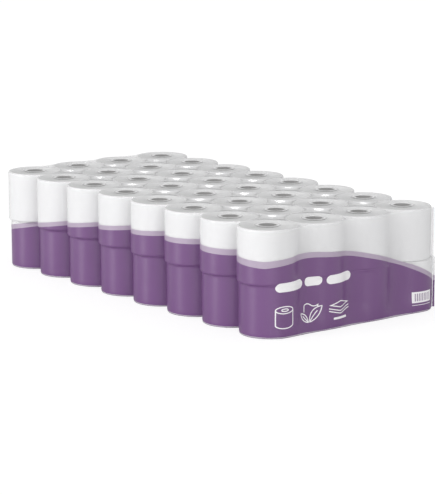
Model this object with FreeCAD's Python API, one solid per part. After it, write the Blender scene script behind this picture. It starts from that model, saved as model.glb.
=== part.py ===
import FreeCAD, Part
import math
import os
from FreeCAD import Vector

# A bulk pack of toilet rolls: two layers of upright rolls, four across and eight along,
# sealed in one printed film. Millimetres, +Z up. The origin is the middle of the pack's foot.
# -Y is the short end that carries the printed marks, and the long sides face -X and +X.
# Rows count from the -Y end, and columns count from the -X side.

# One roll
roll_diameter = 104.0
roll_height = 95.0
roll_rim_round = 3.0
core_outer_diameter = 40.0
core_wall = 0.8

# How the rolls stand together
columns = 4
rows = 8
roll_clearance = 0.3  # between neighbours in a layer
layer_shift = 5.0  # the lower layer stands this far towards +X under the upper one

# The film
film_thickness = 0.4
film_clearance = 0.3  # between the film and the rolls that it is drawn round
long_side_valley_radius = 7.0  # how tightly the film turns in between two rolls
short_side_valley_radius = 60.0
film_rim_round = 3.4  # outside, at the head and the foot
fin_width = 5.0  # the welded seam that stands out at the front right corner
fin_thickness = 0.8

# The print on the film: its edge is a wave, given by its height at corners and mid sides
print_thickness = 0.3
print_foot_height = 1.2  # bare film below this
high_corner_height = 136.0  # front left corner. The crest lies a little beyond it
long_side_middle_height = 137.0
short_side_middle_height = 131.5
front_trough_height = 62.0
back_trough_height = 80.0
edge_band_at_high_corner = 12.0
edge_band_at_middle = 8.5
edge_band_at_trough = 9.5

# The marks, on the -Y end. Lefts are measured from that end's left edge, levels from the foot
title_left = 28.8
title_level = 90.0
title_height = 16.0
title_bar_lengths = (63.0, 35.0, 63.0)
title_bar_gap = 7.0
mark_line_width = 1.8
mark_level = 17.5  # the foot of the small marks
roll_mark_left = 28.5
roll_mark_width = 35.5
roll_mark_height = 40.0
roll_mark_rim_height = 14.0  # its round head, seen at a slant
roll_mark_core_width = 15.0
leaf_mark_left = 85.0
leaf_lengths = (37.0, 24.0)
leaf_widths = (15.5, 11.5)
leaf_slants = (46.0, 134.0)  # degrees from level
leaf_stalk_place = 22.0  # where both leaves start, from the mark's left
leaf_sheet_width = 31.0  # the sheet behind the leaves, of which the wavy head shows
leaf_sheet_low = 19.5  # the foot of its left side, above the marks' foot
leaf_sheet_high = 30.0
leaf_sheet_wave = 2.8
sheets_mark_left = 146.0
sheets_mark_width = 53.0
sheet_half_height = 6.5
sheet_step = 4.6
sheets_mark_level = 50.3  # its highest point
caption_bar_length = 34.0
caption_bar_height = 4.0
label_left = 345.0
label_width = 44.5
label_height = 20.0
label_level = 19.5
label_margin = 3.0
label_rule_height = 1.0
label_rule_level = 15.0
bar_pitch = 4.0
bar_width = 1.6

# What follows from them
roll_radius = roll_diameter / 2
core_radius = core_outer_diameter / 2
pitch = roll_diameter + roll_clearance
stack_height = 2 * roll_height
film_inside = film_clearance
film_outside = film_inside + film_thickness
print_outside = film_outside + print_thickness
foot = film_thickness  # the rolls stand on the film's inner face
middle = foot + roll_height
head = foot + stack_height
pack_height = head + film_thickness
upper_shift = -layer_shift / 2
lower_shift = layer_shift / 2
corner_x = (columns - 1) / 2 * pitch  # the corner rolls' centres, without the layers' shift
corner_y = (rows - 1) / 2 * pitch
beyond = 60.0  # how far cutting blocks reach past the pack


def roll_centre(row, column, shift):
    """The middle of a roll in the plan, counting rows and columns from 0."""
    x = (column - (columns - 1) / 2) * pitch + shift
    y = (row - (rows - 1) / 2) * pitch
    return Vector(x, y, 0)


def paper_winding():
    """One roll's paper, standing on z = 0: its turns as one ring with rounded rims."""
    body = Part.makeCylinder(roll_radius, roll_height)
    rims = [e for e in body.Edges if len(e.Vertexes) == 1 and abs(e.Length - math.pi * roll_diameter) < 1e-3]
    body = body.makeFillet(roll_rim_round, rims)
    return body.cut(Part.makeCylinder(core_radius, roll_height))


def core_tube():
    """One roll's cardboard tube, cut flush with the paper."""
    outside = Part.makeCylinder(core_radius, roll_height)
    return outside.cut(Part.makeCylinder(core_radius - core_wall, roll_height))


def placed(shape, centre, level):
    """A copy of a shape made at the origin, moved to its place."""
    copy = shape.copy()
    copy.translate(Vector(centre.x, centre.y, level))
    return copy


def edge_rolls(shift):
    """The centres of the rolls round the pack's edge, anticlockwise from the front left corner,
    each with the valley radius of the film between it and the next."""
    ring = [(0, c, short_side_valley_radius) for c in range(columns - 1)]
    ring += [(r, columns - 1, long_side_valley_radius) for r in range(rows - 1)]
    ring += [(rows - 1, c, short_side_valley_radius) for c in range(columns - 1, 0, -1)]
    ring += [(r, 0, long_side_valley_radius) for r in range(rows - 1, 0, -1)]
    return [(roll_centre(r, c, shift), valley) for r, c, valley in ring]


def film_outline(shift, reach):
    """The plan outline that runs outside the rolls by reach: an arc round each edge roll,
    and a hollow arc tangent to both neighbours between two rolls."""
    ring = edge_rolls(shift)
    hollows = []
    for n, (here, valley) in enumerate(ring):
        there = ring[(n + 1) % len(ring)][0]
        along = (there - here).normalize()
        outward = Vector(along.y, -along.x, 0)
        half = (there - here).Length / 2
        rise = math.sqrt((roll_radius + valley) ** 2 - half**2)
        hollow = here + along * half + outward * rise
        leave = here + (hollow - here).normalize() * (roll_radius + reach)
        arrive = there + (hollow - there).normalize() * (roll_radius + reach)
        deepest = hollow - outward * (valley - reach)
        hollows.append((leave, deepest, arrive))
    edges = []
    for n, (here, _) in enumerate(ring):
        start = hollows[n - 1][2]
        end = hollows[n][0]
        outward = ((start - here).normalize() + (end - here).normalize()).normalize()
        edges.append(Part.Arc(start, here + outward * (roll_radius + reach), end).toShape())
        edges.append(Part.Arc(*hollows[n]).toShape())
    return Part.Wire(edges)


def layer_block(shift, reach, bottom, top):
    """The solid inside an outline, from bottom to top."""
    block = Part.Face(film_outline(shift, reach)).extrude(Vector(0, 0, top - bottom))
    block.translate(Vector(0, 0, bottom))
    return block


def rounded_block(reach, depth, step_depth, rim_round):
    """Both layers in one solid: reach outside the rolls, depth past their head and foot,
    and step_depth past the step between the layers."""
    lower = layer_block(lower_shift, reach, foot - depth, middle + step_depth)
    upper = layer_block(upper_shift, reach, middle - step_depth, head + depth)
    block = lower.fuse(upper).removeSplitter()
    ends = (foot - depth, head + depth)
    rims = [e for e in block.Edges if any(all(abs(v.Z - z) < 1e-6 for v in e.Vertexes) for z in ends)]
    return block.makeFillet(rim_round, rims)


def film_envelope():
    """The film's outer shape, without its seam."""
    return rounded_block(film_outside, film_thickness, film_thickness, film_rim_round)


def fin_seam():
    """The two film edges welded face to face, standing out from the front right corner roll."""
    start = roll_radius + film_inside
    fin = Part.makeBox(
        film_thickness + fin_width,
        fin_thickness,
        stack_height - 2 * film_rim_round,
        Vector(start, -fin_thickness / 2, foot + film_rim_round),
    )
    fin.rotate(Vector(0, 0, 0), Vector(0, 0, 1), -45)
    centre = roll_centre(0, columns - 1, 0)
    fin.translate(centre)
    return fin


def film_wrap(envelope, fin):
    """The whole film: a closed skin round both layers, with its welded fin."""
    inside = rounded_block(film_inside, 0.0, 0.0, film_rim_round - film_thickness)
    skin = envelope.cut(inside)
    return skin.fuse(fin.cut(inside)).removeSplitter()


def print_layer(envelope, fin):
    """The ink on the film's sides, before the wave cuts it. It stops at the fin."""
    step_depth = film_thickness + print_thickness
    coat = rounded_block(print_outside, film_thickness, step_depth, film_rim_round + print_thickness)
    reach_x = corner_x + roll_radius + beyond
    reach_y = corner_y + roll_radius + beyond
    band_height = pack_height - film_rim_round - print_foot_height
    band = Part.makeBox(2 * reach_x, 2 * reach_y, band_height, Vector(-reach_x, -reach_y, print_foot_height))
    return coat.cut([envelope, fin]).common(band)


def wave_profile(start, end, heights):
    """A curve through three heights, from start to end along a side, closed below the foot.
    Points are (along the side, height)."""
    first = Vector(start, 0, heights[0])
    last = Vector(end, 0, heights[2])
    between = Vector((start + end) / 2, 0, heights[1])
    step = math.copysign(beyond, end - start)
    arc = Part.Arc(first, between, last).toShape()
    level_in = Vector(start - step, 0, heights[0])
    level_out = Vector(end + step, 0, heights[2])
    below_in = Vector(start - step, 0, -beyond)
    below_out = Vector(end + step, 0, -beyond)
    rest = Part.makePolygon([last, level_out, below_out, below_in, level_in, first])
    return Part.Face(Part.Wire([arc] + rest.Edges))


def side_blocks(drop_at_high_corner, drop_at_middle, drop_at_trough):
    """Four blocks under the wave, one for each side, that meet at the corners' diagonals."""
    diagonal = (roll_radius + film_outside) * math.sqrt(0.5)
    left, right = -corner_x, corner_x
    front, back = -corner_y, corner_y
    high_corner = high_corner_height - drop_at_high_corner
    long_middle = long_side_middle_height - drop_at_middle
    short_middle = short_side_middle_height - drop_at_middle
    front_trough = front_trough_height - drop_at_trough
    back_trough = back_trough_height - drop_at_trough
    out = roll_radius + beyond
    sides = (
        # along Y, start and end of the wave, its heights, and the plan of the side
        (True, front - diagonal, back + diagonal, (high_corner, long_middle, back_trough),
         ((left, front), (left, back), (left - out, back + out), (left - out, front - out))),
        (True, back + diagonal, front - diagonal, (high_corner, long_middle, front_trough),
         ((right, front), (right, back), (right + out, back + out), (right + out, front - out))),
        (False, left - diagonal, right + diagonal, (high_corner, short_middle, front_trough),
         ((left, front), (right, front), (right + out, front - out), (left - out, front - out))),
        (False, right + diagonal, left - diagonal, (high_corner, short_middle, back_trough),
         ((left, back), (right, back), (right + out, back + out), (left - out, back + out))),
    )
    blocks = []
    for along_y, start, end, heights, plan in sides:
        under = wave_profile(start, end, heights)
        if along_y:
            under.rotate(Vector(0, 0, 0), Vector(0, 0, 1), 90)
            under.translate(Vector(-corner_x - 2 * out, 0, 0))
            under = under.extrude(Vector(2 * corner_x + 4 * out, 0, 0))
        else:
            under.translate(Vector(0, -corner_y - 2 * out, 0))
            under = under.extrude(Vector(0, 2 * corner_y + 4 * out, 0))
        points = [Vector(x, y, -beyond) for x, y in plan]
        wedge = Part.Face(Part.makePolygon(points + points[:1]))
        blocks.append(under.common(wedge.extrude(Vector(0, 0, pack_height + 2 * beyond))))
    return blocks


def rounded_bar(left, level, length, height):
    """A flat bar with round ends, standing in the XZ plane, its left end and middle given."""
    r = height / 2
    a, b = Vector(left + r, 0, level + r), Vector(left + length - r, 0, level + r)
    c, d = Vector(left + length - r, 0, level - r), Vector(left + r, 0, level - r)
    ends = Part.Arc(b, Vector(left + length, 0, level), c), Part.Arc(d, Vector(left, 0, level), a)
    top, bottom = Part.makeLine(a, b), Part.makeLine(c, d)
    return Part.Face(Part.Wire([top, ends[0].toShape(), bottom, ends[1].toShape()]))


def polygon(points):
    """A flat polygon in the XZ plane."""
    corners = [Vector(x, 0, z) for x, z in points]
    return Part.Face(Part.makePolygon(corners + corners[:1]))


def box_face(left, bottom, width, height):
    """A flat rectangle in the XZ plane."""
    right, top = left + width, bottom + height
    return polygon([(left, bottom), (right, bottom), (right, top), (left, top)])


def oval(x, level, width, height):
    """A flat oval in the XZ plane, wider than it is high."""
    centre = Vector(x, 0, level)
    curve = Part.Ellipse(centre + Vector(width / 2, 0, 0), centre + Vector(0, 0, height / 2), centre)
    return Part.Face(Part.Wire(curve.toShape()))


def title_bars(end_left):
    """Plain bars in the place of a title."""
    bars = []
    left = end_left + title_left
    for length in title_bar_lengths:
        bars.append(rounded_bar(left, title_level, length, title_height))
        left += length + title_bar_gap
    return bars


def roll_mark(end_left):
    """The outline of an upright roll, seen from a little above."""
    line, rim = mark_line_width, roll_mark_rim_height
    left = end_left + roll_mark_left
    x = left + roll_mark_width / 2
    low, high = mark_level + rim / 2, mark_level + roll_mark_height - rim / 2
    head = oval(x, high, roll_mark_width, rim)
    inner_head = oval(x, high, roll_mark_width - 2 * line, rim - 2 * line)
    body = box_face(left, low, roll_mark_width, high - low)
    body = body.fuse(oval(x, low, roll_mark_width, rim)).removeSplitter()
    hollow = box_face(left + line, low, roll_mark_width - 2 * line, high - low)
    hollow = hollow.fuse(oval(x, low, roll_mark_width - 2 * line, rim - 2 * line)).removeSplitter()
    core_height = rim * roll_mark_core_width / roll_mark_width
    core = oval(x, high, roll_mark_core_width, core_height)
    core = core.cut(oval(x, high, roll_mark_core_width - 2 * line, core_height - 1.4 * line))
    return [joined([body.cut(hollow).cut(head), head.cut(inner_head)]), core]


def leaf_shape(length, width):
    """A flat leaf lying along +X from the origin: two arcs that meet in points."""
    start, end = Vector(0, 0, 0), Vector(length, 0, 0)
    upper = Part.Arc(start, Vector(length / 2, 0, width / 2), end).toShape()
    lower = Part.Arc(end, Vector(length / 2, 0, -width / 2), start).toShape()
    return Part.Face(Part.Wire([upper, lower]))


def arc_band(start, through, end):
    """A thin upright band along an arc."""
    up = Vector(0, 0, mark_line_width)
    low = Part.Arc(start, through, end).toShape()
    high = Part.Arc(end + up, through + up, start + up).toShape()
    ends = Part.makeLine(end, end + up), Part.makeLine(start + up, start)
    return Part.Face(Part.Wire([low, ends[0], high, ends[1]]))


def sheet_head(stalk):
    """The wavy head of a sheet behind the leaves, with its left side and the top of its right side."""
    line, third = mark_line_width, leaf_sheet_width / 3
    low, high = mark_level + leaf_sheet_low, mark_level + leaf_sheet_high
    left, between, right = stalk.x - third, stalk.x + third / 2, stalk.x + 2 * third
    hump = arc_band(Vector(left, 0, high), Vector((left + between) / 2, 0, high + leaf_sheet_wave),
                    Vector(between, 0, high - line / 2))
    dip = arc_band(Vector(between, 0, high - line / 2),
                   Vector((between + right) / 2, 0, high - leaf_sheet_wave), Vector(right, 0, high))
    left_side = box_face(left, low, line, high - low + line)
    right_side = box_face(right - line, high - 3 * line, line, 4 * line)
    return joined([hump, dip, left_side, right_side])


def leaf_mark(end_left):
    """The outlines of two leaves that grow from one place, each with its rib, before a sheet."""
    marks = []
    stalk = Vector(end_left + leaf_mark_left + leaf_stalk_place, 0, mark_level)
    for length, width, slant in zip(leaf_lengths, leaf_widths, leaf_slants):
        inset = mark_line_width / width * length
        inner = leaf_shape(length - 2 * inset, width - 2 * mark_line_width)
        inner.translate(Vector(inset, 0, 0))
        rib = box_face(inset, -mark_line_width / 2, length * 0.7 - inset, mark_line_width)
        leaf = leaf_shape(length, width).cut(inner.cut(rib))
        leaf.translate(Vector(mark_line_width, 0, 0))
        leaf.rotate(Vector(0, 0, 0), Vector(0, -1, 0), slant)
        leaf.translate(stalk)
        marks.append(leaf)
    # The right leaf's tip hides the foot of the sheet's right side
    marks.append(sheet_head(stalk).cut(marks[0]))
    return marks


def sheets_mark(end_left):
    """Three sheets stacked, a lozenge over two chevrons, with a plain bar below."""
    line, rise, half = mark_line_width, sheet_half_height, sheets_mark_width / 2
    x = end_left + sheets_mark_left + half
    level = sheets_mark_level - rise
    side = line * math.hypot(half, rise) / rise
    top = polygon([(x - half, level), (x, level + rise), (x + half, level), (x, level - rise)])
    inner = polygon([(x - half + side, level), (x, level + rise - side * rise / half),
                     (x + half - side, level), (x, level - rise + side * rise / half)])
    marks = [top.cut(inner)]
    for n in (1, 2):
        low = level - n * sheet_step
        marks.append(polygon([(x - half, low), (x, low - rise), (x + half, low),
                              (x + half, low - line), (x, low - rise - line), (x - half, low - line)]))
    bar_level = mark_level + caption_bar_height / 2
    marks.append(rounded_bar(x - caption_bar_length / 2, bar_level, caption_bar_length, caption_bar_height))
    return marks


def bar_label(end_left):
    """A pale label crossed by plain upright bars, which are gaps in it, over a thin rule."""
    left = end_left + label_left
    label = box_face(left, label_level, label_width, label_height)
    count = int((label_width - 2 * label_margin) / bar_pitch)
    first = left + (label_width - (count - 1) * bar_pitch - bar_width) / 2
    low, tall = label_level + label_margin, label_height - 2 * label_margin
    for n in range(count):
        label = label.cut(box_face(first + n * bar_pitch, low, bar_width, tall))
    return [label, box_face(left, label_rule_level, label_width, label_rule_height)]


def mark_block(layer):
    """All the marks on the -Y end, cut out of the print layer."""
    end_left = -corner_x - roll_radius
    shapes = title_bars(end_left) + roll_mark(end_left) + leaf_mark(end_left)
    shapes += sheets_mark(end_left) + bar_label(end_left)
    solids = []
    for shape in shapes:
        for face in shape.Faces:
            stamp = face.extrude(Vector(0, -roll_radius - beyond, 0))
            stamp.translate(Vector(0, -corner_y, 0))
            solids += layer.common(stamp).Solids
    return Part.makeCompound(solids)


def joined(shapes):
    """Shapes that share faces, as one."""
    return shapes[0].multiFuse(shapes[1:]).removeSplitter()


def save(name, shape):
    """Writes one node."""
    shape.exportStep(os.path.join("parts", name + ".step"))


def main():
    os.makedirs("parts", exist_ok=True)

    envelope = film_envelope()
    fin = fin_seam()
    save("film_wrap", film_wrap(envelope, fin))

    layer = print_layer(envelope, fin)
    under_band = side_blocks(edge_band_at_high_corner, edge_band_at_middle, edge_band_at_trough)
    under_wave = side_blocks(0.0, 0.0, 0.0)
    field = joined([layer.common(block) for block in under_band])
    edge_band = joined([layer.common(whole).cut(low) for whole, low in zip(under_wave, under_band)])
    marks = mark_block(field)
    save("print_field", field.cut(marks))
    save("print_edge_band", edge_band)
    save("print_marks", marks)

    paper = paper_winding()
    core = core_tube()
    for row in range(rows):
        uppers = [roll_centre(row, column, upper_shift) for column in range(columns)]
        lowers = [roll_centre(row, column, lower_shift) for column in range(columns)]
        for column, centre in enumerate(uppers):
            save(f"roll_upper_row{row + 1}_col{column + 1}", placed(paper, centre, middle))
        save(f"rolls_lower_row{row + 1}", Part.makeCompound([placed(paper, c, foot) for c in lowers]))
        save(f"cores_upper_row{row + 1}", Part.makeCompound([placed(core, c, middle) for c in uppers]))
        save(f"cores_lower_row{row + 1}", Part.makeCompound([placed(core, c, foot) for c in lowers]))


main()
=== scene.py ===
# %% [markdown]
# A bulk pack of toilet rolls. Two layers of upright rolls, four across and eight along, are sealed
# in one film that is clear at the head and printed purple up to a wavy edge. This lesson dresses
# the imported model. Every place and most sizes are read from it, so each finer mesh made here stands
# exactly where the plain solid stood.

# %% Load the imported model
import math

import bpy
import numpy as np
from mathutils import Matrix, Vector, noise


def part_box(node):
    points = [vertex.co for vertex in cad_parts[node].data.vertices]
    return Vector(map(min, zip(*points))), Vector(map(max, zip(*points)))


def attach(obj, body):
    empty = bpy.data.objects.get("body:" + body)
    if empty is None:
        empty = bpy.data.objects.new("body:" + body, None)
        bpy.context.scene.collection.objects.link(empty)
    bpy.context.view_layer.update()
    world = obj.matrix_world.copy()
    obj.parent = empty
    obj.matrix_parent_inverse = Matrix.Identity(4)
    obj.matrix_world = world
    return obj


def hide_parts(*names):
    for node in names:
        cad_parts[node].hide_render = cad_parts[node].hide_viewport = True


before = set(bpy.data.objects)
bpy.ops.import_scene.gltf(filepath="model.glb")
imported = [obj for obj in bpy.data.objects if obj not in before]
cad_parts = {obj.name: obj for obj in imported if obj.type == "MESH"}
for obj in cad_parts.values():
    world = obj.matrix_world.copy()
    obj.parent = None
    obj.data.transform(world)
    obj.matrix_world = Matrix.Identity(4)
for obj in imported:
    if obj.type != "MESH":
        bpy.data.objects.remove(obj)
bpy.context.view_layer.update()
scene = bpy.context.scene
print("nodes in the model:", len(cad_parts))

# %% [markdown]
# The rolls are the measure of everything else: the film is drawn round them, so its outline is
# worked out from one roll's radius and the distance from each roll to the next. Boxes of single
# nodes give these. What a box can't give, such as how tightly the film turns in between two
# rolls, is written down here in metres.

# %% Sizes of the rolls and of the film
MM = 0.001
columns, rows = 4, 8
first_low, first_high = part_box("roll_upper_row1_col1")
second_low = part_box("roll_upper_row1_col2")[0]
lower_low, lower_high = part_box("rolls_lower_row1")
core_low, core_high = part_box("cores_upper_row1")
film_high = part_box("film_wrap")[1]

roll_radius = (first_high.x - first_low.x) / 2
core_radius = (core_high.y - core_low.y) / 2
pitch = second_low.x - first_low.x
corner_x = (columns - 1) / 2 * pitch
corner_y = (rows - 1) / 2 * pitch
upper_shift = (first_low.x + first_high.x) / 2 + corner_x
lower_shift = (lower_low.x + lower_high.x) / 2
foot, middle, head = lower_low.z, first_low.z, first_high.z
roll_height = head - middle
film_top = film_high.z
film_reach = film_high.y - corner_y - roll_radius

core_wall = 0.8 * MM
roll_rim_round = 3.0 * MM
film_rim_round = 3.4 * MM
long_valley_radius = 7.0 * MM
short_valley_radius = 60.0 * MM
print_thickness = 0.3 * MM
print_foot_height = 1.2 * MM
print("roll", round(roll_radius, 4), "pitch", round(pitch, 4), "film reach", round(film_reach, 5))

# %% [markdown]
# A mesh here starts as plain lists of corners and faces. One helper turns them into an object
# that sits at the origin, with its place in its mesh, and another hides the plain parts that a
# finished piece replaces and ties the piece to the body that it moves with.

# %% Helpers for meshes and for handing pieces over
def make_piece(name, corners, faces, sharp_angle=40.0):
    """A new mesh object, smooth but for edges sharper than an angle in degrees."""
    mesh = bpy.data.meshes.new(name)
    mesh.from_pydata([tuple(c) for c in corners], [], faces)
    mesh.validate()
    mesh.shade_smooth()
    mesh.set_sharp_from_angle(angle=math.radians(sharp_angle))
    piece = bpy.data.objects.new(name, mesh)
    scene.collection.objects.link(piece)
    return piece


def ring_faces(ring_count, ring_size, closed=False):
    """Quads between rings of corners that follow each other. closed joins the last ring to the first."""
    faces = []
    for a in range(ring_count if closed else ring_count - 1):
        b = (a + 1) % ring_count
        for n in range(ring_size):
            m = (n + 1) % ring_size
            faces.append((a * ring_size + n, a * ring_size + m, b * ring_size + m, b * ring_size + n))
    return faces


def hand_over(piece, replaced=()):
    """Hides the parts that the finished piece replaces, and lets it ride with the pack."""
    if replaced:
        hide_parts(*replaced)
    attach(piece, "root")
    triangles = sum(len(p.vertices) - 2 for p in piece.data.polygons)
    print(piece.name, "triangles", triangles)


# %% [markdown]
# A roll is one long sheet wound on its core, so it is a body of revolution but for two things: its
# radius grows by one sheet's thickness a turn, and the sheet's end makes a small step along its
# side. The profile below is a closed loop of radius and height. It is turned round the core in
# steps, and the spiral takes a little off the radius on the way.

# %% One roll of paper
roll_steps = 84
sheet_step, sheet_end_gap = 0.35 * MM, math.radians(0.4)
rim_steps = 4
end_dish = 1.0 * MM


def roll_profile():
    """Radius and height round the paper's section, from the core's foot outwards and up."""
    loop = [(core_radius, end_dish), ((core_radius + roll_radius) / 2, end_dish * 0.3)]
    for n in range(rim_steps + 1):
        a = math.radians(90 * n / rim_steps)
        loop.append((roll_radius - roll_rim_round * (1 - math.sin(a)), roll_rim_round * (1 - math.cos(a))))
    loop.append((roll_radius, roll_height / 2))
    loop += [(r, roll_height - z) for r, z in reversed(loop[:-1])]
    return loop


def turned_rings(profile, steps, spiral=0.0):
    """Corners of a profile turned round Z. spiral is what the radius loses in one turn."""
    whole = 2 * math.pi - (sheet_end_gap if spiral else 2 * math.pi / steps)
    corners = []
    for n in range(steps):
        share = n / (steps - 1)
        for radius, height in profile:
            grown = max((radius - core_radius) / (roll_radius - core_radius), 0.0)
            r = radius - spiral * share * grown
            corners.append((r * math.cos(share * whole), r * math.sin(share * whole), height))
    return corners


profile = roll_profile()
roll_corners = turned_rings(profile, roll_steps, sheet_step)
roll_faces = [f[::-1] for f in ring_faces(roll_steps, len(profile), closed=True)]
print("one roll has", len(roll_faces), "faces")

# %% [markdown]
# A core is a short tube of wound cardboard, cut flush with the paper. Its section is a plain
# rectangle, so the same turning function makes it.

# %% One cardboard core
core_steps = 56
core_inside, core_top = core_radius - core_wall, roll_height - end_dish
core_profile = [(core_inside, end_dish), (core_radius, end_dish), (core_radius, roll_height / 2),
                (core_radius, core_top), (core_inside, core_top), (core_inside, roll_height / 2)]
core_corners = turned_rings(core_profile, core_steps)
core_faces = [f[::-1] for f in ring_faces(core_steps, len(core_profile), closed=True)]
print("one core has", len(core_faces), "faces")

# %% [markdown]
# Geometry and materials both come from node trees. A few helpers build them. They add a node with
# its settings and inputs, do arithmetic between sockets and numbers, and start a group with named
# sockets.

# %% Helpers for node trees
def set_inputs(tree, node, values):
    """Gives a node's inputs, by name or number, their values or the sockets that feed them."""
    for label, value in values.items():
        if isinstance(value, bpy.types.NodeSocket):
            tree.links.new(value, node.inputs[label])
        else:
            node.inputs[label].default_value = value
    return node


def add_node(tree, kind, values=None, **settings):
    """A new node with its settings and its inputs."""
    node = tree.nodes.new(kind)
    for label, value in settings.items():
        setattr(node, label, value)
    return set_inputs(tree, node, values or {})


def math_node(tree, operation, *parts, clamp=False):
    """Sockets and numbers, joined one after another by an arithmetic operation."""
    result = parts[0]
    for part in parts[1:] or (0.0,):
        step = add_node(tree, "ShaderNodeMath", {0: result, 1: part}, operation=operation, use_clamp=clamp)
        result = step.outputs[0]
    return result


def product(tree, *parts):
    """Sockets and numbers multiplied."""
    return math_node(tree, "MULTIPLY", *parts)


def total(tree, *parts):
    """Sockets and numbers added up."""
    return math_node(tree, "ADD", *parts)


def named_group(name, kind, inputs, outputs):
    """An empty node group with named inputs and outputs, each with its kind of socket."""
    tree = bpy.data.node_groups.new(name, kind)
    for way, sockets in (("INPUT", inputs), ("OUTPUT", outputs)):
        for label, socket in sockets.items():
            tree.interface.new_socket(label, in_out=way, socket_type="NodeSocket" + socket)
    return tree, tree.nodes.new("NodeGroupInput").outputs, tree.nodes.new("NodeGroupOutput")


print("node helpers ready")

# %% [markdown]
# Thirty-two rolls stand in each layer, all alike but for the way that they are turned. Copying
# them by hand would be 64 objects to keep in line. A Geometry Nodes tree does it once: a grid of
# points, one instance on each, a random turn about Z from a fixed seed, and the layer's level and
# sideways shift. Before that it stores each corner's place within its own roll, and a random
# tone for each roll, as attributes, because the paper's material needs them to draw turns round
# the right core.

# %% A tree that sets out one layer
def layer_tree():
    """Sets one mesh out on the grid of a layer."""
    tree, given, result = named_group("Set out a layer", "GeometryNodeTree", {
        "Geometry": "Geometry", "Columns": "Int", "Rows": "Int", "Pitch": "Float", "Shift": "Float",
        "Level": "Float", "Seed": "Int", "Finish": "Material"}, {"Geometry": "Geometry"})

    def extent(count_name):
        """How far a row of that many rolls reaches, from centre to centre."""
        return product(tree, math_node(tree, "SUBTRACT", given[count_name], 1.0), given["Pitch"])

    def random_value(most):
        """A number from 0 to a most, another one for each roll."""
        return add_node(tree, "FunctionNodeRandomValue", {3: most, "Seed": given["Seed"]}).outputs[1]

    grid = add_node(tree, "GeometryNodeMeshGrid", {
        "Size X": extent("Columns"), "Size Y": extent("Rows"),
        "Vertices X": given["Columns"], "Vertices Y": given["Rows"]})
    offset = add_node(tree, "ShaderNodeCombineXYZ", {"X": given["Shift"], "Z": given["Level"]})
    moved = add_node(tree, "GeometryNodeTransform", {
        "Geometry": grid.outputs["Mesh"], "Translation": offset.outputs[0]})
    place = add_node(tree, "GeometryNodeStoreNamedAttribute", {
        "Geometry": given["Geometry"], "Name": "roll_place",
        "Value": add_node(tree, "GeometryNodeInputPosition").outputs[0]}, data_type="FLOAT_VECTOR")
    rotation = add_node(tree, "ShaderNodeCombineXYZ", {"Z": random_value(2 * math.pi)})
    spread = add_node(tree, "GeometryNodeInstanceOnPoints", {
        "Points": moved.outputs[0], "Instance": place.outputs[0], "Rotation": rotation.outputs[0]})
    tone = add_node(tree, "GeometryNodeStoreNamedAttribute", {
        "Geometry": spread.outputs[0], "Name": "roll_tone", "Value": random_value(1.0)}, domain="INSTANCE")
    real = add_node(tree, "GeometryNodeRealizeInstances", {0: tone.outputs[0]})
    finish = add_node(tree, "GeometryNodeSetMaterial", {
        "Geometry": real.outputs[0], "Material": given["Finish"]})
    set_inputs(tree, result, {0: finish.outputs[0]})
    return tree


def grown_by_tree(source, tree, values):
    """The source object's mesh as the tree makes it, with the modifier gone again."""
    modifier = source.modifiers.new("tree", "NODES")
    modifier.node_group = tree
    for item in tree.interface.items_tree:
        if item.in_out == "INPUT" and item.name in values:
            modifier[item.identifier] = values[item.name]
    bpy.context.view_layer.update()
    evaluated = source.evaluated_get(bpy.context.evaluated_depsgraph_get())
    mesh = bpy.data.meshes.new_from_object(evaluated)
    source.modifiers.remove(modifier)
    old = source.data
    source.data = mesh
    mesh.name = source.name
    bpy.data.meshes.remove(old)
    return source


set_out = layer_tree()
print("tree inputs:", [i.name for i in set_out.interface.items_tree if i.in_out == "INPUT"])

# %% [markdown]
# Fine detail that more than one finish shares is a shader group. Paper and cardboard are both
# felted fibre, so one group gives them a cloudy tone and a slight roughness of surface at a scale
# that each sets for itself. Groups put out values only, and the shaders stay in the materials.

# %% Shared fibre pattern
def noise_value(tree, place, scale, detail):
    """A noise texture's value at a place, its scale in points a metre."""
    values = {"Vector": place, "Scale": scale, "Detail": detail}
    return add_node(tree, "ShaderNodeTexNoise", values).outputs[0]


def fibre_group():
    """Cloudy tone and felted height for paper and board."""
    tree, given, result = named_group("Felted fibre", "ShaderNodeTree", {
        "Place": "Vector", "Fineness": "Float"}, {"Tone": "Float", "Height": "Float"})
    set_inputs(tree, result, {
        "Tone": noise_value(tree, given["Place"], 14.0, 3.0),
        "Height": noise_value(tree, given["Place"], given["Fineness"], 2.0)})
    return tree


fibre = fibre_group()


def fibres_at(tree, place, fineness):
    """The tone and the height of the fibre group at a place."""
    return add_node(tree, "ShaderNodeGroup", {"Place": place, "Fineness": fineness}, node_tree=fibre).outputs


print("group outputs:", [s.name for s in fibre.interface.items_tree if s.in_out == "OUTPUT"])

# %% [markdown]
# Tissue is nearly white, matt and soft. Its side carries a light embossing, and its two ends show
# the edges of the turns as fine rings round the core. Both patterns read the place within the
# roll that the tree stored, so each roll has its own rings. Which one shows depends on the
# surface's direction alone.

# %% Tissue material
turn_spacing, dot_spacing, dots_round = 2.1 * MM, 8.2 * MM, 40.0
dish_slope = 9000.0


def ranged(tree, value, low, high):
    """A value from 0 to 1 stretched to run from low to high."""
    return add_node(tree, "ShaderNodeMapRange", {"Value": value, "To Min": low, "To Max": high}).outputs[0]


def mixed_colour(tree, share, first, second):
    """A colour between two, by a share from 0 to 1."""
    colours = {"Factor": share, "A": (*first, 1.0), "B": (*second, 1.0)}
    return add_node(tree, "ShaderNodeMix", colours, data_type="RGBA").outputs["Result"]


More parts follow.
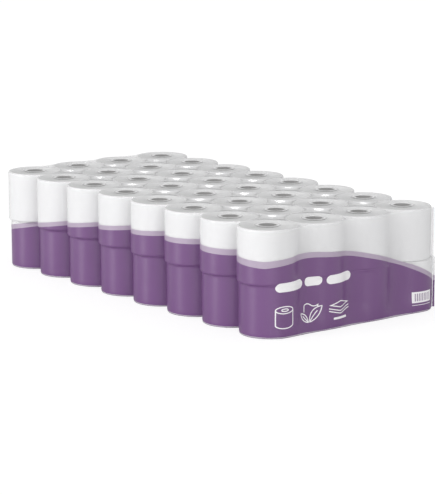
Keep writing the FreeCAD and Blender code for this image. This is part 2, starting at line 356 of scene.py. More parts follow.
def new_material(name, roughness, **sockets):
    """A material with its node tree and its Principled shader."""
    made = bpy.data.materials.new(name)
    made.use_nodes = True
    shader = made.node_tree.nodes["Principled BSDF"]
    shader.inputs["Roughness"].default_value = roughness
    for label, value in sockets.items():
        shader.inputs[label.replace("_", " ")].default_value = value
    return made, made.node_tree, shader


def add_bump(tree, shader, height, distance, strength):
    """Feeds a height to the shader's normal."""
    bump = add_node(tree, "ShaderNodeBump", {"Distance": distance, "Strength": strength, "Height": height})
    set_inputs(tree, shader, {"Normal": bump.outputs[0]})


def attribute(tree, name, output):
    """What an attribute of the mesh holds."""
    return add_node(tree, "ShaderNodeAttribute", attribute_name=name).outputs[output]


def split(tree, vector):
    """The X, Y and Z of a vector."""
    return add_node(tree, "ShaderNodeSeparateXYZ", {0: vector}).outputs


def levelness(tree):
    """1 where the surface lies level, 0 where it stands upright."""
    normal = tree.nodes.new("ShaderNodeNewGeometry").outputs["Normal"]
    return math_node(tree, "ABSOLUTE", split(tree, normal)["Z"])


def tissue_material():
    """Matt white paper: embossed on the side, ringed with turns on the ends."""
    made, tree, shader = new_material("tissue", 0.92, Specular_IOR_Level=0.2)
    place = attribute(tree, "roll_place", "Vector")
    x, y, z = split(tree, place)
    on_end = math_node(tree, "SUBTRACT", product(tree, levelness(tree), 3.0), 1.6, clamp=True)
    fibres = fibres_at(tree, place, 900.0)

    square = total(tree, product(tree, x, x), product(tree, y, y))
    radius = math_node(tree, "SQRT", square)
    wobble = product(tree, fibres["Tone"], 9.0)
    phase = total(tree, product(tree, radius, 2 * math.pi / turn_spacing), wobble)
    turns = math_node(tree, "SINE", phase)
    around = product(tree, math_node(tree, "ARCTAN2", y, x), dots_round)
    upward = product(tree, z, 2 * math.pi / dot_spacing)
    dots = product(tree, math_node(tree, "SINE", around), math_node(tree, "SINE", upward))

    pattern = add_node(tree, "ShaderNodeMix", {"Factor": on_end, "A": dots, "B": turns}).outputs[0]
    dished = product(tree, radius, on_end, dish_slope)
    height = total(tree, product(tree, pattern, 0.35), fibres["Height"], dished)
    add_bump(tree, shader, height, 0.25 * MM, 0.4)

    ringed = product(tree, on_end, turns, 0.16)
    roll_tone = product(tree, attribute(tree, "roll_tone", "Fac"), 0.5)
    tone = total(tree, ringed, roll_tone, fibres["Tone"])
    tone = math_node(tree, "SUBTRACT", tone, 0.25, clamp=True)
    colour = mixed_colour(tree, tone, (0.86, 0.86, 0.865), (0.91, 0.91, 0.91))
    set_inputs(tree, shader, {"Base Color": colour})
    return made


tissue = tissue_material()
print("tissue nodes:", len(tissue.node_tree.nodes))

# %% [markdown]
# The core is grey recycled board, wound on a slant. The slanted joint of its outer ply shows as a
# line that climbs the tube, so the material compares the angle round the tube with the height.

# %% Cardboard material
ply_climb = 85.0 * MM


def board_material():
    """Grey recycled board with the slanted joint of its ply."""
    made, tree, shader = new_material("core_board", 0.85, Specular_IOR_Level=0.25)
    place = attribute(tree, "roll_place", "Vector")
    x, y, z = split(tree, place)
    fibres = fibres_at(tree, place, 500.0)
    angle = math_node(tree, "DIVIDE", math_node(tree, "ARCTAN2", y, x), 2 * math.pi)
    slant = math_node(tree, "FRACT", total(tree, angle, math_node(tree, "DIVIDE", z, ply_climb)))
    joint = math_node(tree, "LESS_THAN", slant, 0.012)
    add_bump(tree, shader, math_node(tree, "SUBTRACT", fibres["Height"], joint), 0.2 * MM, 0.4)
    colour = mixed_colour(tree, fibres["Tone"], (0.27, 0.26, 0.255), (0.34, 0.33, 0.32))
    set_inputs(tree, shader, {"Base Color": colour})
    return made


board = board_material()
print("board nodes:", len(board.node_tree.nodes))

# %% [markdown]
# Now the tree does its work four times: paper and cores, lower layer and upper layer. The lower
# layer stands a few millimetres to one side of the upper one, as it does in the real pack, where
# the film lets the layers slide a little before it is shrunk.

# %% Set out the rolls and cores
def layer_of(name, corners, faces, finish, shift, level, seed):
    """One mesh that holds a whole layer of rolls or cores."""
    single = make_piece(name, corners, faces)
    return grown_by_tree(single, set_out, {
        "Columns": columns, "Rows": rows, "Pitch": pitch, "Shift": shift, "Level": level, "Seed": seed,
        "Finish": finish})


each_upper_roll = [f"roll_upper_row{r + 1}_col{c + 1}" for r in range(rows) for c in range(columns)]
for part, corners, faces, finish, slot in (
    ("rolls", roll_corners, roll_faces, tissue, "tissue"),
    ("cores", core_corners, core_faces, board, "core_board"),
):
    for layer, shift, level, seed in (("upper", upper_shift, middle, 3), ("lower", lower_shift, foot, 8)):
        piece = layer_of(f"{layer}_{part}", corners, faces, finish, shift, level, seed)
        each_row = [f"{part}_{layer}_row{r + 1}" for r in range(rows)]
        hand_over(piece, each_upper_roll if piece.name == "upper_rolls" else each_row)

# %% [markdown]
# The film is shrunk round the rolls. Seen from above, its outline is a round arc on each edge roll,
# and a hollow arc between two rolls that runs smoothly into both. On the long sides it turns
# in tightly and deeply. On the short ends it bridges more widely. The outline is kept as points,
# each with its outward direction, because everything on the film is then a matter of how far
# out from that outline it lies at each height.

# %% The film's outline in the plan
outline_step = 4.5 * MM


def arc_angles(start, end, radius):
    """Angles in degrees along an arc, without its last one, about one outline step apart."""
    count = max(6, round(abs(math.radians(end - start)) * radius / outline_step))
    return [start + (end - start) * n / count for n in range(count)]


def heading(degrees):
    """The unit vector at an angle in the plan."""
    return Vector((math.cos(math.radians(degrees)), math.sin(math.radians(degrees))))


def film_outline():
    """Rows of x, y and outward x, y, anticlockwise from the front left corner roll."""
    points = []
    corners = ((-corner_x, -corner_y), (corner_x, -corner_y), (corner_x, corner_y), (-corner_x, corner_y))
    gaps = (columns - 1, rows - 1, columns - 1, rows - 1)
    valleys = (short_valley_radius, long_valley_radius, short_valley_radius, long_valley_radius)
    lean = [math.degrees(math.asin(pitch / 2 / (roll_radius + v))) for v in valleys]
    for side in range(4):
        out = 90.0 * side - 90
        ahead, outward, valley = heading(90.0 * side), heading(out), valleys[side]
        rise = math.sqrt((roll_radius + valley) ** 2 - (pitch / 2) ** 2)
        for n in range(gaps[side]):
            centre = Vector(corners[side]) + ahead * pitch * n
            hollow = centre + ahead * pitch / 2 + outward * rise
            start = out - lean[side] if n else out - 90 - lean[side - 1]
            for about, reach, first, last in (
                (centre, roll_radius, start, out + lean[side]),
                (hollow, -valley, out + lean[side], out - lean[side]),
            ):
                for a in arc_angles(first, last, abs(reach)):
                    points.append((*(about + heading(a) * reach), *heading(a)))
    return np.array(points)


outline = film_outline()
steps = np.hypot(*(np.roll(outline[:, :2], -1, axis=0) - outline[:, :2]).T)
run = np.concatenate([[0.0], np.cumsum(steps)[:-1]])
print("outline points", len(outline), "length round the pack", round(float(steps.sum()), 3))

# %% [markdown]
# How far the film lies from that outline changes with height. It is rounded at the head and the
# foot, dips a little into the joint between the layers, and steps sideways there. Low on
# the short ends it is pulled straight, because it is folded under the pack there. Everywhere it has
# faint waves, as shrunk film has. All of this is one function, so that print and marks can be
# laid on the film at any place with a small lift.

# %% The film's surface at any height
joint_half_height = 7.0 * MM
crisp_half_height = 2.2 * MM
groove_half_height = 0.8 * MM
groove_depth = 0.5 * MM
taut_height = 42.0 * MM
wave_depth = 0.22 * MM


def rim_inset(z):
    """What the rounding at the head and the foot takes off the reach."""
    near = np.minimum(np.minimum(z, film_top - z), film_rim_round)
    return film_rim_round - np.sqrt(film_rim_round**2 - (film_rim_round - near) ** 2)


def layer_shift(z, out_x):
    """The sideways place of the layer at a height. On the long sides its slope is short and lies
    under the layer that stands out, on the short ends it is longer."""
    half = joint_half_height + (crisp_half_height - joint_half_height) * np.minimum(np.abs(out_x) * 1.4, 1)
    t = np.clip((z - middle - half * out_x) / (2 * half) + 0.5, 0, 1)
    return lower_shift + (upper_shift - lower_shift) * t * t * (3 - 2 * t)


def pulled_straight(z):
    """How much the film on the short ends gives up its hollows at a height."""
    t = np.clip(1 - z / taut_height, 0, 1)
    return 0.9 * t * t


def film_waves(run_at, z):
    """Faint unevenness of the shrunk film, the same for everything that lies on it."""
    values = []
    for s, h in zip(run_at, z):
        slow = noise.noise(Vector((s * 22.0, h * 16.0, 3.7)))
        quick = noise.noise(Vector((s * 60.0, h * 95.0, 9.1)))
        values.append(slow + 0.35 * quick)
    return wave_depth * np.array(values)


def on_film(rows_of_outline, run_at, z, lift=0.0):
    """Points on the film, for rows of the outline, at heights z, lifted outwards."""
    x, y, out_x, out_y = rows_of_outline.T
    groove = groove_depth * np.exp(-(((z - middle) / groove_half_height) ** 2))
    reach = film_reach + lift - rim_inset(z) - groove + film_waves(run_at, z)
    between = np.clip((corner_x + 0.25 * pitch - np.abs(x)) / (0.25 * pitch), 0, 1)
    on_end = (np.abs(y) > corner_y) * between
    straight = np.sign(y) * (corner_y + roll_radius) - y
    return np.column_stack([
        x + out_x * reach + layer_shift(z, out_x),
        y + out_y * reach + straight * on_end * pulled_straight(z),
        z,
    ])


heights = np.linspace(film_rim_round, film_top - film_rim_round, 44)
joint_steps = (0.5, 1.0, 1.5, 2.1, 3.0, 4.5, 6.5, 9.0, 11.5, 14.0)
joint_levels = sorted([middle] + [middle + sign * k * MM for k in joint_steps for sign in (-1, 1)])
print("film reaches", np.round(on_film(outline, run, np.full(len(run), middle / 2)).max(axis=0), 4))

# %% [markdown]
# The film itself is one closed skin. Its rings run from the middle of the foot outwards, up the
# sides and back to the middle of the head. The head and the foot close on a line, not on a
# point, because the pack is twice as long as it is wide, and quads that run to a line stay even.
# Over the gaps between rolls and over the cores the head sags a little.

# %% The film mesh
cap_rings = 26
gap_sag = 3.0 * MM
core_sag = 0.8 * MM


def rim_heights():
    """Heights up the film's side, close together in both rims and at the joint."""
    rim = [film_rim_round * (1 - math.cos(math.radians(a))) for a in (0, 22.5, 45, 67.5)]
    away = [h for h in heights if abs(h - middle) > joint_levels[-1] - middle]
    return sorted(rim + away + joint_levels + [film_top - z for z in rim])


def head_shares(x, y):
    """How far the head's film sags at a place, and how much it lies free there over a gap."""
    dx = np.mod((x - upper_shift + corner_x) / pitch + 0.5, 1.0) - 0.5
    dy = np.mod((y + corner_y) / pitch + 0.5, 1.0) - 0.5
    from_core = np.hypot(dx, dy) * pitch
    from_gap = np.hypot(0.5 - np.abs(dx), 0.5 - np.abs(dy)) * pitch
    inside = (np.abs(x) < corner_x) & (np.abs(y) < corner_y)
    gap = np.clip(1 - (from_gap / (0.24 * pitch)) ** 2, 0, 1) ** 2 * inside
    core = np.clip(1 - (from_core / core_radius) ** 2, 0, 1) ** 2
    free = np.clip((from_core / roll_radius - 0.94) / 0.14, 0, 1) * inside
    return gap_sag * gap + core_sag * core, free


def cap(ring, level, sag):
    """Rings from an edge ring to the pack's middle line."""
    half_line = corner_y + roll_radius - corner_x
    line = np.column_stack([np.zeros(len(ring)), np.clip(ring[:, 1], -half_line, half_line)])
    made = []
    for n in range(1, cap_rings + 1):
        flat = ring[:, :2] + (line - ring[:, :2]) * (n / cap_rings) ** 0.85
        made.append(np.column_stack([flat, level - sag * head_shares(*flat.T)[0]]))
    return made


def film_mesh():
    """The closed film, as rings."""
    side = [on_film(outline, run, np.full(len(run), h)) for h in rim_heights()]
    foot_rings = cap(side[0], 0.0, 0.0)[::-1]
    head_rings = cap(side[-1], film_top, 1.0)
    rings = foot_rings + side + head_rings
    corners = np.concatenate(rings)
    piece = make_piece("film", corners, ring_faces(len(rings), len(outline)), 180.0)
    # Where the head's film lies free over a gap it is made milky: partly haze, partly painted light over the
    # gap's shade.
    slack_haze_and_painted_light = head_shares(corners[:, 0], corners[:, 1])[1] * (corners[:, 2] > middle)
    piece.data.attributes.new("slack_haze_and_painted_light", "FLOAT", "POINT").data.foreach_set("value", slack_haze_and_painted_light)
    return piece


film = film_mesh()
print("film corners", len(film.data.vertices))

# %% [markdown]
# The print ends in a wave that sinks from one corner of the pack to the next. On each side it is
# a shallow arc through three heights, one at each corner and one at mid side. Past a corner
# roll's middle the next side's arc takes over.

# %% The wave
high_corner, long_middle, short_middle = 136.0 * MM, 137.0 * MM, 131.5 * MM
front_trough, back_trough = 62.0 * MM, 80.0 * MM
band_drops = (12.0 * MM, 8.5 * MM, 9.5 * MM)
corner_reach = (roll_radius + film_reach) * math.sqrt(0.5)


def arc_height(s, length, start, between, end):
    """Height at s along an arc through its start, its middle and its end."""
    half = length / 2
    a = np.array([[half, between - start], [length, end - start]])
    b = np.array([(half**2 + (between - start) ** 2) / 2, (length**2 + (end - start) ** 2) / 2])
    cs, cz = np.linalg.solve(a, b)
    radius = math.hypot(cs, cz)
    inside = np.clip(s, 0, length)
    return start + cz + np.sqrt(radius**2 - (inside - cs) ** 2)


def wave_height(x, y, drops=(0.0, 0.0, 0.0)):
    """The wave's height at places on the outline, less a drop at high corner, middle and trough."""
    long_length, short_length = 2 * (corner_y + corner_reach), 2 * (corner_x + corner_reach)
    from_front, from_left = y + long_length / 2, x + short_length / 2
    top, low_front, low_back = high_corner - drops[0], front_trough - drops[2], back_trough - drops[2]
    long_mid, short_mid = long_middle - drops[1], short_middle - drops[1]
    left = arc_height(from_front, long_length, top, long_mid, low_back)
    right = arc_height(long_length - from_front, long_length, top, long_mid, low_front)
    front = arc_height(from_left, short_length, top, short_mid, low_front)
    back = arc_height(short_length - from_left, short_length, top, short_mid, low_back)
    on_long = np.abs(x) - corner_x > np.abs(y) - corner_y
    return np.where(on_long, np.where(x < 0, left, right), np.where(y < 0, front, back))


wave_top = wave_height(outline[:, 0], outline[:, 1])
wave_low = wave_height(outline[:, 0], outline[:, 1], band_drops)
print("wave runs from", round(float(wave_top.min()), 4), "to", round(float(wave_top.max()), 4))

# %% [markdown]
# Print is a thin coat on the film. The dark field reaches from just above the foot to the wave,
# less a band. The band is a paler, thinner ink. Both are closed coats with an outer and an inner
# face that share one set of columns with the film, so they follow its every wave.

# %% The coats of print
ink_gap = 0.05 * MM


def coat(name, low, high, levels):
    """A closed coat on the film between two heights at each column. Its rings stay level where they
    can, and crowd together where an edge of the coat cuts them off."""
    crowd, last = 0.04 * MM, len(levels) - 1
    rings = []
    for lift, order in ((print_thickness, range(last + 1)), (ink_gap, range(last, -1, -1))):
        for n in order:
            z = np.clip(levels[n], low + n * crowd, high - (last - n) * crowd)
            rings.append(on_film(outline, run, z, lift))
    return make_piece(name, np.concatenate(rings), ring_faces(len(rings), len(outline), closed=True), 60.0)


even = list(np.arange(print_foot_height, wave_top.max(), 3.6 * MM))
field_levels = sorted([h for h in even if abs(h - middle) > joint_levels[-1] - middle] + joint_levels)
band_levels = [h for h in field_levels if h > wave_low.min() + 1.5 * MM] + [float(wave_top.max())]
print_field = coat("print_field_coat", np.full(len(run), print_foot_height), wave_low, field_levels)
edge_band = coat("print_edge_coat", wave_low, wave_top, band_levels)
print("coats:", len(print_field.data.vertices), "and", len(edge_band.data.vertices), "corners")

# %% [markdown]
# The marks on the short end stand where the real pack has its title and small pictures. They are
# plain: three bars, a roll, two leaves, sheets over a bar, and a label of upright bars. Each is
# drawn flat, as a strip of pairs of points, and then laid on the film from the front.
# Strips are light, and bend with the film because they are cut finely across.

# %% Laying flat shapes on the film
mark_lift = print_thickness + 0.12 * MM
mark_sink = print_thickness - 0.1 * MM
front_columns = (outline[:, 1] < -corner_y) & (np.abs(outline[:, 0]) < corner_x + 0.9 * roll_radius)
front_x = (outline[:, 0] + outline[:, 2] * film_reach)[front_columns]
order = np.argsort(front_x)
front_x, front, front_run = front_x[order], outline[front_columns][order], run[front_columns][order]
mark_corners, mark_faces = [], []


def laid(x, z, lift):
    """Points on the film's front end for places in its front view."""
    guess = np.interp(x, front_x, front[:, 2])
    flat_x = x - layer_shift(z, guess)
    rows_at = np.column_stack([np.interp(flat_x, front_x, front[:, k]) for k in range(4)])
    return on_film(rows_at, np.interp(flat_x, front_x, front_run), z, lift)


def strip(pairs, across=1, closed=False):
    """Adds small slabs between pairs of points (x, z), the first on the strip's right-hand side."""
    pairs = np.array(pairs)
    shares = np.linspace(0, 1, across + 1)
    grid = pairs[:, None, 0] + (pairs[:, None, 1] - pairs[:, None, 0]) * shares[None, :, None]
    flat, length, size = grid.reshape(-1, 2), len(pairs), 2 * (across + 1)
    top, under = (laid(*flat.T, lift).reshape(length, -1, 3) for lift in (mark_lift, mark_sink))
    start = len(mark_corners)
    mark_corners.extend(np.concatenate([top, under[:, ::-1]], axis=1).reshape(-1, 3))
    faces = [f[::-1] for f in ring_faces(length, size, closed)]
    if not closed:
        last = (length - 1) * size
        for j in range(across):
            end = (j, j + 1, size - 2 - j, size - 1 - j)
            faces += [end, tuple(last + n for n in end[::-1])]
    mark_faces.extend(tuple(start + n for n in f) for f in faces)


def upright_pairs(left, right, low_of, high_of, step=2.0 * MM):
    """Pairs from low to high at even places from left to right."""
    places = np.linspace(left, right, max(2, int((right - left) / step) + 1))
    return [((x, low_of(x)), (x, high_of(x))) for x in places]


def line_pairs(points, width, closed=False):
    """Pairs on both sides of a path of points, as a line of that width."""
    path = np.array(points)
    if closed:
        ahead = np.roll(path, -1, axis=0) - np.roll(path, 1, axis=0)
    else:
        ahead = np.gradient(path, axis=0)
    ahead = ahead / np.hypot(*ahead.T)[:, None]
    side = np.column_stack([ahead[:, 1], -ahead[:, 0]]) * width / 2
    return [(tuple(a), tuple(b)) for a, b in zip(path + side, path - side)]


print("columns on the front end:", len(front))

# %% [markdown]
# Sizes of the marks in the front view, from the end's left edge and from the foot. The roll is
# three lines: its round head, its sides with the foot, and the core's hole. A leaf is a closed
# line with a rib, and the wavy head of a sheet stands behind the two leaves. The stacked sheets
# are a lozenge above two chevrons.

# %% The marks
mark_line = 1.8 * MM
mark_foot = 17.5 * MM
end_left = -corner_x - roll_radius


def rounded_bar(left, level, length, height, across=2):
    """A bar with round ends."""
    r = height / 2

    def half(x):
        near = min(x - left, left + length - x, r)
        return math.sqrt(max(r * r - (r - near) ** 2, 1e-10))

    ends = [r * (1 - math.cos(math.radians(a))) for a in range(0, 90, 15)]
    body = list(np.linspace(left + r, left + length - r, max(2, int((length - height) / (2 * MM)))))
    places = [left + e for e in ends] + body + [left + length - e for e in reversed(ends)]
    strip([((x, level - half(x)), (x, level + half(x))) for x in places], across)


def drawn_line(points, closed=False):
    """A line of the marks' width through points."""
    strip(line_pairs(points, mark_line, closed), closed=closed)


def oval_points(x, z, width, height, first=0.0, last=360.0, count=40):
    """Points round an oval between two angles."""
    angles = np.radians(np.linspace(first, last, count, endpoint=last - first < 360))
    return [(x + width / 2 * math.cos(a), z + height / 2 * math.sin(a)) for a in angles]


left, title_level, title_tall, word_gap = end_left + 28.8 * MM, 90.0 * MM, 16.0 * MM, 7.0 * MM
for length in (63.0 * MM, 35.0 * MM, 63.0 * MM):
    rounded_bar(left, title_level, length, title_tall, 14)
    left += length + word_gap

roll_width, roll_tall, roll_rim = 35.5 * MM - mark_line, 40.0 * MM, 14.0 * MM - mark_line
roll_x = end_left + 28.5 * MM + 17.75 * MM
high, low = mark_foot + roll_tall - 7.0 * MM, mark_foot + 7.0 * MM
drawn_line(oval_points(roll_x, high, roll_width, roll_rim), True)
side_points = [(roll_x - roll_width / 2, z) for z in np.linspace(high, low, 10)[:-1]]
side_points += oval_points(roll_x, low, roll_width, roll_rim, 180.0, 359.9, 26)
side_points += [(roll_x + roll_width / 2, z) for z in np.linspace(low, high, 10)[1:]]
drawn_line(side_points)
drawn_line(oval_points(roll_x, high, 15.0 * MM - mark_line, 5.9 * MM - mark_line, count=24), True)

stalk_x = end_left + 85.0 * MM + 22.0 * MM
for length, width, slant in ((37.0 * MM, 15.5 * MM, 46.0), (24.0 * MM, 11.5 * MM, 134.0)):
    along = np.array(heading(slant))
    aside = np.array([-along[1], along[0]])
    root = np.array([stalk_x, mark_foot]) + along * mark_line
    shares = np.linspace(0, 1, 18)
    bulge = (width - mark_line) / 2 * (1 - (2 * shares - 1) ** 2)
    there = [tuple(root + along * length * t + aside * b) for t, b in zip(shares, bulge)]
    back = [tuple(root + along * length * t - aside * b) for t, b in zip(shares, bulge)][::-1]
    drawn_line(there + back[1:-1], True)
    drawn_line([tuple(root + along * length * t) for t in np.linspace(0.02, 0.7, 10)])

third, wave = 31.0 * MM / 3, 2.8 * MM
sheet_low, sheet_high = mark_foot + 19.5 * MM, mark_foot + 30.0 * MM + mark_line / 2
sheet = [(stalk_x - third + mark_line / 2, z) for z in np.linspace(sheet_low, sheet_high, 6)]
for t in np.linspace(0, 1, 9)[1:]:
    sheet.append((stalk_x - third + 1.5 * third * t, sheet_high + wave * (1 - (2 * t - 1) ** 2)))
for t in np.linspace(0, 1, 9)[1:]:
    sheet.append((stalk_x + third * (0.5 + 1.5 * t), sheet_high - wave * (1 - (2 * t - 1) ** 2)))
sheet += [(stalk_x + 2 * third - mark_line / 2, sheet_high - k * mark_line) for k in (1, 2, 3)]
drawn_line(sheet)

sheets_x, half_width, half_tall = end_left + 146.0 * MM + 26.5 * MM, 26.5 * MM, 6.5 * MM
top_level, sheet_gap = 50.3 * MM - half_tall, 4.6 * MM


def chevron(level, sign, inner_line, outer_line):
    """Two slanting bars that meet in the middle, above or below a level, and end at it. Their lines
    lie inside and outside of the lozenge's edge."""
    def edge(x, line):
        return level + sign * max(half_tall * (1 - abs(x - sheets_x) / half_width) + line, 0)

    ways = (lambda x: edge(x, -inner_line), lambda x: edge(x, outer_line))
    strip(upright_pairs(sheets_x - half_width, sheets_x + half_width, *ways[::sign], 1.6 * MM))


slant_line = mark_line * math.hypot(half_width, half_tall) / half_width
chevron(top_level, 1, slant_line, 0.0)
chevron(top_level, -1, slant_line, 0.0)
for n in (1, 2):
    chevron(top_level - n * sheet_gap, -1, 0.0, mark_line)
rounded_bar(sheets_x - 17.0 * MM, mark_foot + 2.0 * MM, 34.0 * MM, 4.0 * MM)

label_left, label_width, label_low, label_tall, margin = (v * MM for v in (345.0, 44.5, 19.5, 20.0, 3.0))
label_left += end_left
bar_pitch, bar_width = 4.0 * MM, 1.6 * MM
bar_count = int((label_width - 2 * margin) / bar_pitch)
first_bar = label_left + (label_width - (bar_count - 1) * bar_pitch - bar_width) / 2
label_right, label_high = label_left + label_width, label_low + label_tall


def panel(left, right, low, high):
    """A plain rectangle."""
    strip(upright_pairs(left, right, lambda x: low, lambda x: high), across=2)


panel(label_left, label_right, label_low, label_low + margin)
panel(label_left, label_right, label_high - margin, label_high)
edges = [label_left] + [first_bar + n * bar_pitch + k for n in range(bar_count) for k in (0, bar_width)]
edges.append(label_right)
for a, b in zip(edges[0::2], edges[1::2]):
    panel(a, b, label_low + margin, label_high - margin)
panel(label_left, label_right, 15.0 * MM, 16.0 * MM)
print("marks have", len(mark_faces), "faces")

# %% [markdown]
# The film is closed along one upright weld at the front right corner, where its two edges stand out
# as a fin. At its root the weld is a narrow white line, whose flat white is a painted highlight along
# the corner, and beyond it stands a soft flap. Below the wave it carries the print too, so the fin is
# made in three parts by height.

# %% The welded fin
fin_length, fin_half, weld_half = 5.4 * MM, 0.4 * MM, 0.75 * MM
fin_low, fin_high = film_rim_round, film_top - film_rim_round
film_side = roll_radius + film_reach


def fin_slab(name, start, end, low, high, half):
    """A thin upright slab on the corner roll, between two distances from it and two heights."""
    levels = [low] + [h for h in np.linspace(fin_low, fin_high, 61) if low < h < high] + [high]
    way = Vector((math.sqrt(0.5), -math.sqrt(0.5), 0))
    side = Vector((way.y, -way.x, 0))
    between = (start + end) / 2
    corners = []
    for z in levels:
        centre = Vector((corner_x + float(layer_shift(z, math.sqrt(0.5))), -corner_y, z))
        bend = 0.5 * MM * noise.noise(Vector((4.0, 1.0, z * 40)))
        for d, s in zip((start, between, end, end, between, start), (1, 1, 1, -1, -1, -1)):
            out = (d - film_side) / fin_length
            flare = 0.3 * MM * noise.noise(Vector((8.0, 2.0, z * 60))) * out
            corners.append(centre + way * (d + flare) + side * (s * half + bend * out))
    last = len(corners) - 6
    faces = ring_faces(len(levels), 6) + [tuple(range(6)), tuple(range(last + 5, last - 1, -1))]
    return make_piece(name, corners, [f[::-1] for f in faces])


root, weld_end, tip = film_side - 0.3 * MM, film_side + 1.6 * MM, film_side - 0.4 * MM + fin_length
# The weld strip's flat white is a painted highlight along the corner.
weld = fin_slab("film_weld_painted_highlight", root, weld_end, fin_low, fin_high, weld_half)
flap = fin_slab("film_flap", weld_end, tip, front_trough, fin_high, fin_half)
flap_print = fin_slab("film_flap_print", weld_end, tip, fin_low, front_trough - band_drops[2], fin_half)
flap_band = fin_slab("film_flap_band", weld_end, tip, front_trough - band_drops[2], front_trough, fin_half)
print("fin reaches", round(tip, 4), "from the corner roll's middle")

# %% [markdown]
# Film and inks share one kind of unevenness: where the film is shrunk over round rolls it pulls
# into faint upright puckers. One group gives their height from the place on the pack. The inks
# use it with more strength than the clear film, because they show it more.

# %% Shared film puckers
def vector_node(tree, operation, first, second=(0.0, 0.0, 0.0)):
    """The outputs of one step of arithmetic between vectors."""
    return add_node(tree, "ShaderNodeVectorMath", {0: first, 1: second}, operation=operation).outputs


def pucker_group():
    """Height of faint puckers, long in Z, and a cloudy share."""
    tree, given, result = named_group("Film puckers", "ShaderNodeTree", {"Place": "Vector"},
                                      {"Height": "Float", "Cloud": "Float"})
    stretched = vector_node(tree, "MULTIPLY", given["Place"], (95.0, 95.0, 14.0))["Vector"]
    set_inputs(tree, result, {
        "Height": noise_value(tree, stretched, 1.0, 2.0),
        "Cloud": noise_value(tree, given["Place"], 11.0, 3.0)})
    return tree


puckers = pucker_group()


def place_on_pack(tree):
    """The place on the pack of what is shaded."""
    return tree.nodes.new("ShaderNodeTexCoord").outputs["Object"]


def puckers_at(tree):
    """The height and the cloud of the pucker group at what is shaded."""
    return add_node(tree, "ShaderNodeGroup", {"Place": place_on_pack(tree)}, node_tree=puckers).outputs


print("pucker group ready")

# %% [markdown]
# Clear film is nearly invisible face on and shows as a pale sheen where it turns away, so its alpha
# follows the view angle. On the sides it is shrunk tight and a little milky, over the head it is
# stretched thin. Where it lies loose over the gaps it is made milky white as well, which is partly
# haze and partly painted light: it hides the shade down in the gaps and leaves pale patches there.
# A milky ring over the edge of each core, where the film is drawn in, likewise lightens the shaded
# rim of the core's hole with painted light. The inks are dense: the dark one is a glossy purple, the
# band is a thin lilac that lets a little of the paper through, and the marks are flat white.

# %% Film and print materials
# Size of the ring over each core's edge, where the film is hazed and painted light covers the hole's shaded
# rim.
rim_haze_light_radius, rim_haze_light_width = 18.5 * MM, 5.3 * MM
pucker_depth = 0.6 * MM


def core_rim_haze_and_painted_light(tree):
    """How hazy the film is in a ring round each core's middle, partly haze and partly painted light over the
    shaded rim of the core's hole.
    """
    place = place_on_pack(tree)
    for operation, value in (
        ("ADD", (corner_x - upper_shift + pitch / 2, corner_y + pitch / 2, 0.0)),
        ("DIVIDE", (pitch, pitch, 1.0)),
        ("FRACTION", (0.0, 0.0, 0.0)),
        ("SUBTRACT", (0.5, 0.5, 0.0)),
        ("MULTIPLY", (pitch, pitch, 0.0)),
    ):
        place = vector_node(tree, operation, place, value)["Vector"]
    from_core = vector_node(tree, "LENGTH", place)["Value"]
    off = math_node(tree, "ABSOLUTE", math_node(tree, "SUBTRACT", from_core, rim_haze_light_radius))
    return ranged(tree, math_node(tree, "DIVIDE", off, rim_haze_light_width), 0.8, 0.0)


def film_material():
    """Clear film whose sheen grows where it turns away."""
    made, tree, shader = new_material("film", 0.16, Base_Color=(0.9, 0.9, 0.91, 1.0))
    pucker = puckers_at(tree)
    add_bump(tree, shader, pucker["Height"], pucker_depth, 0.3)
    facing = add_node(tree, "ShaderNodeLayerWeight", {"Blend": 0.25}).outputs["Facing"]
    sheen = ranged(tree, facing, 0.04, 0.28)
    shrunk = math_node(tree, "SUBTRACT", 0.50, product(tree, levelness(tree), 0.45))
    # Milky where the film lies free over the gaps: partly haze, partly painted light that hides the gaps'
    # shade.
    slack_haze_and_painted_light = product(tree, attribute(tree, "slack_haze_and_painted_light", "Fac"), 0.6)
    cloud = product(tree, pucker["Cloud"], 0.06)
    # The ring over each core's edge lightens the shade in its hole: partly haze, partly painted light.
    milky = total(tree, sheen, shrunk, slack_haze_and_painted_light, cloud, core_rim_haze_and_painted_light(tree))
    set_inputs(tree, shader, {"Alpha": math_node(tree, "MINIMUM", milky, 1.0)})
    return made


def ink_material(name, dark, light, roughness, bump, alphas=None, shine=0.5):
    """A printed ink between two tones. Two alphas, low and high, let the paper through."""
    made, tree, shader = new_material(name, roughness, Specular_IOR_Level=shine)
    pucker = puckers_at(tree)
    set_inputs(tree, shader, {"Base Color": mixed_colour(tree, pucker["Cloud"], dark, light)})
    add_bump(tree, shader, pucker["Height"], pucker_depth, bump)
    if alphas:
        set_inputs(tree, shader, {"Alpha": ranged(tree, pucker["Cloud"], *alphas)})
    return made


clear = film_material()
purple = ink_material("print_purple", (0.141, 0.051, 0.184), (0.158, 0.059, 0.203), 0.33, 0.25, shine=1.0)
lilac = ink_material("print_lilac", (0.50, 0.415, 0.53), (0.54, 0.455, 0.57), 0.3, 0.3, (0.76, 0.86))
white_ink = ink_material("print_white", (0.87, 0.86, 0.87), (0.92, 0.91, 0.92), 0.4, 0.3)
# Painted highlight: the weld line's flat white stands in for light along the corner.
weld_highlight_ink = ink_material("film_weld_painted_highlight", (0.80, 0.80, 0.81), (0.88, 0.88, 0.89), 0.35, 0.4)
print("finishes:", [m.name for m in (clear, purple, lilac, white_ink, weld_highlight_ink)])

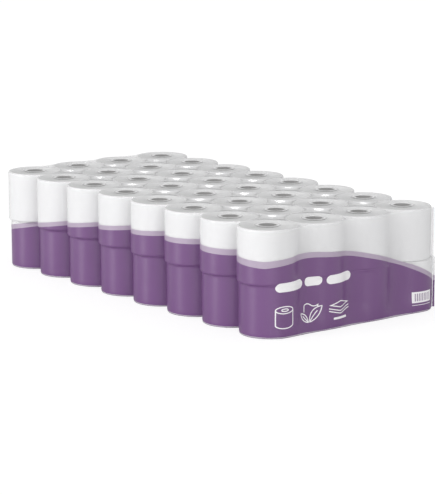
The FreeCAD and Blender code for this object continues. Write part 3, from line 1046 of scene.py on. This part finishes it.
# %% Hand over the film and the print
marks_piece = make_piece("print_marks_coat", mark_corners, mark_faces, 30.0)
for piece, finish, slot, replaced in (
    (film, clear, "film", ["film_wrap"]),
    (weld, weld_highlight_ink, "film", ["film_wrap"]),
    (flap, clear, "film", ["film_wrap"]),
    (flap_print, purple, "print_purple", []),
    (flap_band, lilac, "print_lilac", []),
    (print_field, purple, "print_purple", ["print_field"]),
    (edge_band, lilac, "print_lilac", ["print_edge_band"]),
    (marks_piece, white_ink, "print_white", ["print_marks"]),
):
    piece.data.materials.append(finish)
    hand_over(piece, replaced)

# %% [markdown]
# The pack stands on a white floor that runs out to the horizon. Seen by the camera the floor is
# topped up to white, so only a faint shadow is left of it, as in a cut-out picture. For
# the light it stays a plain pale floor, so the pack's foot gets its reflected light.

# %% Floor and world
far = 14.0
white = (1.0, 1.0, 1.0, 1.0)
floor = make_piece("floor", [(-far, -far, 0), (far, -far, 0), (far, far, 0), (-far, far, 0)], [(0, 1, 2, 3)])
floor_finish, tree, shader = new_material("floor", 0.9, Specular_IOR_Level=0.1)
seen = tree.nodes.new("ShaderNodeLightPath").outputs["Is Camera Ray"]
set_inputs(tree, shader, {
    "Base Color": mixed_colour(tree, seen, (0.80, 0.80, 0.80), (0.28, 0.28, 0.28)),
    "Emission Color": white,
    "Emission Strength": product(tree, seen, 0.80)})
floor.data.materials.append(floor_finish)

world = bpy.data.worlds.new("studio")
world.use_nodes = True
tree = world.node_tree
seen = tree.nodes.new("ShaderNodeLightPath").outputs["Is Camera Ray"]
set_inputs(tree, tree.nodes["Background"], {"Color": white, "Strength": ranged(tree, seen, 0.60, 1.0)})
scene.world = world
print("world and floor ready")

# %% [markdown]
# The main light comes from the left, once low and once from higher up. So each roll has its light
# side left and its shaded side right, and the low lamp draws a streak down the print. Two broad
# lamps before the near corner fill the short end. A weak one from behind only glints in the
# hollows of the film over the gaps.

# %% Light
for name, energy, spread, toward in (
    ("soft_left", 0.74, 7, (-0.966, 0.259, 0.06)),
    ("high_left", 0.58, 20, (-0.966, 0.259, 0.50)),
    ("soft_middle", 0.22, 30, (-0.88, -0.48, 0.25)),
    ("soft_front", 1.0, 40, (-0.42, -0.906, 0.25)),
    ("soft_back", 0.12, 9, (0.533, 0.682, 0.50)),
):
    lamp_data = bpy.data.lights.new(name, "SUN")
    lamp_data.energy = energy
    lamp_data.angle = math.radians(spread)
    lamp = bpy.data.objects.new(name, lamp_data)
    lamp.rotation_euler = Vector(toward).to_track_quat("Z", "Y").to_euler()
    scene.collection.objects.link(lamp)
    print(name, energy)

# %% [markdown]
# The camera looks from the front left with a long lens, from a little above. Its place was worked
# out from the rolls' rims in the photograph.

# %% Camera
camera_data = bpy.data.cameras.new("camera")
camera_data.sensor_width = 36.0
camera_data.lens = 149.8
camera = bpy.data.objects.new("camera", camera_data)
camera.location = (-2.3540, -3.0448, 0.8509)
yaw, dip = math.radians(37.9), math.radians(11.43)
look = Vector((math.sin(yaw) * math.cos(dip), math.cos(yaw) * math.cos(dip), -math.sin(dip)))
camera.rotation_euler = look.to_track_quat("-Z", "Y").to_euler()
scene.collection.objects.link(camera)
scene.camera = camera
scene.view_settings.view_transform = "Standard"
print("lens", camera_data.lens)
